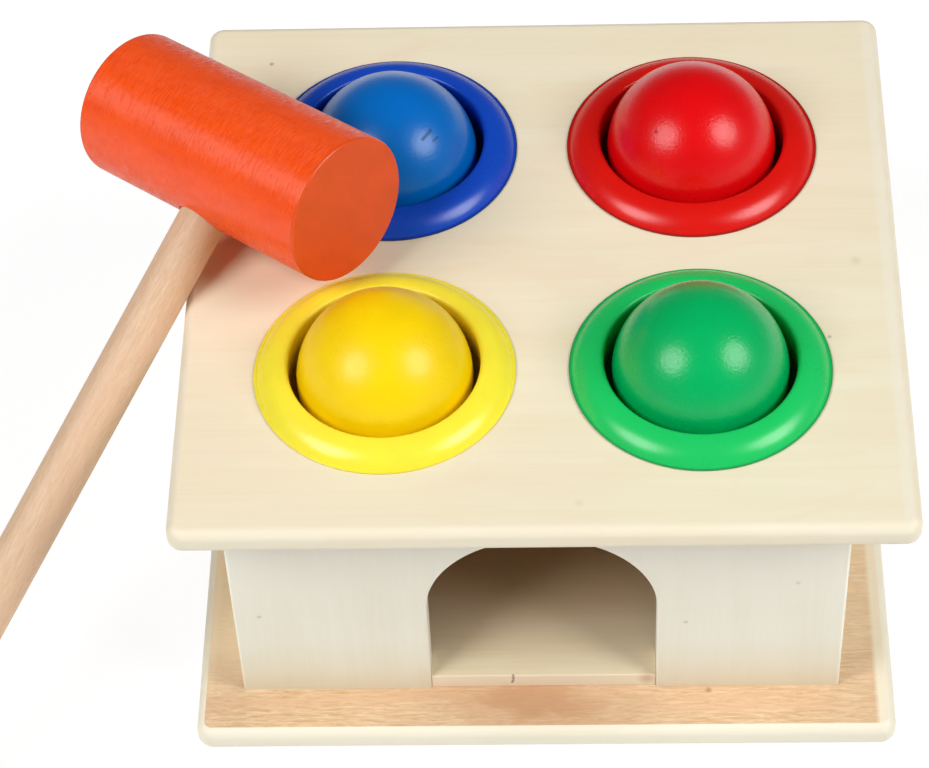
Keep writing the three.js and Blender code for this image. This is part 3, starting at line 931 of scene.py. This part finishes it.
# The lathe's marks run round the head, so its highlight is a band along it
head_axis = mallet_place.to_3x3() @ Vector((1, 0, 0))
head_look, tree, shader = finish("orange_head", 0.4, mallet_place)
shader.inputs["Anisotropic"].default_value = 0.92
shader.inputs["IOR"].default_value = 1.47
axis_node = put(tree, "CombineXYZ", dict(zip("XYZ", head_axis)))
tree.links.new(axis_node.outputs[0], shader.inputs["Tangent"])
lathe_marks = put(tree, "Mapping", {
    "Vector": place_on(tree), "Scale": [1 / (0.42 * mm), 1 / (2 * mm), 1 / (2 * mm)]})
lathe_marks = put(tree, "TexNoise", {
    "Vector": lathe_marks.outputs["Vector"], "Scale": 1.0, "Detail": 2.0}).outputs["Fac"]
cloud = streaks(tree, x_axis, 7 * mm, 2.2 * mm, 72.0, detail=5.0)
waves = streaks(tree, x_axis, 3 * mm, 1.4 * mm, 70.0, detail=3.0)
mottled = over(tree, spread(tree, cloud, 0.4, 0.75), orange, orange_deep)
mottled = over(tree, spread(tree, lathe_marks, 0.42, 0.66, 0, 0.18), mottled, orange_scuffed)
tree.links.new(mottled, shader.inputs["Base Color"])
raised(tree, shader, over(tree, 0.4, lathe_marks, waves), 0.12 * mm)
tree.links.new(spread(tree, lathe_marks, 0.38, 0.62, 0.25, 0.48), shader.inputs["Roughness"])
head.data.materials.append(head_look)

# The two ends are cut flat across the grain, and their rims are a little glossier
end_look, tree, shader = finish("orange_end", 0.5, mallet_place)
shader.inputs["IOR"].default_value = 1.4
cloud = streaks(tree, y_axis, 9 * mm, 5 * mm, 74.0, detail=4.0)
mottled = over(tree, spread(tree, cloud, 0.35, 0.7), orange_end, darker(orange_end, 0.9))
tree.links.new(mottled, shader.inputs["Base Color"])
raised(tree, shader, streaks(tree, y_axis, 0.5 * mm, 0.3 * mm, 76.0, detail=2.0), 0.02 * mm)
along_head = worked_out(tree, "ABSOLUTE", measures(tree)[x_axis])
rim_gloss = spread(tree, along_head, head_length / 2 - 0.06 * mm, head_length / 2 - 0.02 * mm,
                   0.28, 0.5)
tree.links.new(rim_gloss, shader.inputs["Roughness"])
head.data.materials.append(end_look)
end_slant = 0.12
for face in head.data.polygons:
    face.material_index = 1 if abs(face.normal.dot(head_axis)) > end_slant else 0
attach(head, "mallet")
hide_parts("mallet_head")

handle_rod = turned(rod_profile(handle_radius, -handle_reach, handle_socket_end,
                                handle_ease, handle_glued_ease), handle_sides)
handle_rod.transform(mallet_place)
handle = shaped("mallet_handle_dressed", handle_rod, even=True)

handle_dark = paint(213, 175, 141)
handle_light = paint(231, 199, 165)
handle_warm = paint(222, 182, 150)
handle_fleck = paint(172, 132, 98)
handle_look, tree, shader = finish("beech_handle", 0.55, mallet_place)
handle_grain = streaks(tree, z_axis, 4 * mm, 0.45 * mm, 80.0, detail=4.0, warp=0.6)
cloud = streaks(tree, z_axis, 30 * mm, 5 * mm, 82.0, detail=3.0, warp=0.8)
flecks = streaks(tree, z_axis, 1.6 * mm, 0.25 * mm, 84.0, detail=2.0)
handle_face = over(tree, spread(tree, handle_grain, 0.3, 0.7), handle_dark, handle_light)
handle_face = over(tree, spread(tree, cloud, 0.45, 0.7, 0, 0.6), handle_face, handle_warm)
handle_face = over(tree, spread(tree, flecks, 0.6, 0.74, 0, 0.4), handle_face, handle_fleck)
tree.links.new(handle_face, shader.inputs["Base Color"])
raised(tree, shader, handle_grain, grain_relief, 0.5)
handle.data.materials.append(handle_look)
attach(handle, "mallet")
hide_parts("mallet_handle")


# Floor: a white sheet that the bench stands on. It looks white to the camera and in
# reflections, and still takes the soft shadows.
floor_sheet = bmesh.new()
bmesh.ops.create_grid(floor_sheet, x_segments=1, y_segments=1, size=4)
floor = shaped("floor", floor_sheet)
floor.location.z = -0.05 * mm
floor_look, tree, shader = finish("white_floor", 0.9)
rays = put(tree, "LightPath").outputs
seen = worked_out(tree, "MAXIMUM", rays["Is Camera Ray"], rays["Is Glossy Ray"])
seen = worked_out(tree, "MAXIMUM", seen, rays["Is Transmission Ray"])
plain_sheet = put(tree, "BsdfDiffuse", {"Color": [0.9, 0.9, 0.9, 1]})
seen_sheet = put(tree, "BsdfDiffuse", {"Color": [0.2, 0.2, 0.2, 1]})
seen_white = put(tree, "Emission", {"Color": [1, 1, 1, 1], "Strength": 0.865})
seen_floor = put(tree, "AddShader", {0: seen_sheet.outputs[0], 1: seen_white.outputs[0]})
mixed = put(tree, "MixShader", {"Fac": seen, 1: plain_sheet.outputs[0], 2: seen_floor.outputs[0]})
tree.links.new(mixed.outputs[0], tree.nodes["Material Output"].inputs["Surface"])
floor.data.materials.append(floor_look)


# Studio: a grey surround, lighter along the horizon and in front, and a round soft box on
# each side, a little in front of the bench.
surround = bpy.data.worlds.new("surround")
bpy.context.scene.world = surround
surround.use_nodes = True
tree = surround.node_tree
towards = put(tree, "SeparateXYZ", {"Vector": put(tree, "TexCoord").outputs["Generated"]}).outputs
by_height = spread(tree, towards[z_axis], 0.1, 0.35, 0.38, 0.09)
by_depth = spread(tree, towards[y_axis], -0.8, 0.8, 1.0, 0.65)
background = tree.nodes["Background"]
background.inputs["Color"].default_value = (1, 1, 1, 1)
tree.links.new(worked_out(tree, "MULTIPLY", by_height, by_depth), background.inputs["Strength"])

box_distance = 1.3
box_width = 0.74
for name, towards, power in (
    ("left_box", (-0.587, -0.377, 0.719), 11.3),
    ("right_box", (0.697, -0.26, 0.67), 12.0),
):
    lamp = bpy.data.lights.new(name, "AREA")
    lamp.shape = "DISK"
    lamp.size = box_width
    lamp.energy = power
    box = bpy.data.objects.new(name, lamp)
    bpy.context.scene.collection.objects.link(box)
    away = Vector(towards).normalized()
    box.location = Vector((0, 0, top_high.z)) + away * box_distance
    box.rotation_euler = away.to_track_quat("Z", "Y").to_euler()


# Camera: in front of the bench and above it, with a long lens, looking down at 50 degrees.
# That is how the photograph was taken.
camera_place = (7.91 * mm, -440.66 * mm, 564.95 * mm)
camera_heading, camera_down, camera_roll = 3.177, 50.232, -3.08
camera_lens = bpy.data.cameras.new("camera")
camera_lens.sensor_width = 36
camera_lens.lens = 126.04
camera = bpy.data.objects.new("camera", camera_lens)
bpy.context.scene.collection.objects.link(camera)
camera.matrix_world = (
    Matrix.Translation(camera_place)
    @ Matrix.Rotation(math.radians(camera_heading), 4, "Z")
    @ Matrix.Rotation(math.radians(90 - camera_down), 4, "X")
    @ Matrix.Rotation(math.radians(camera_roll), 4, "Z")
)
bpy.context.scene.camera = camera
bpy.context.scene.view_settings.view_transform = "Standard"
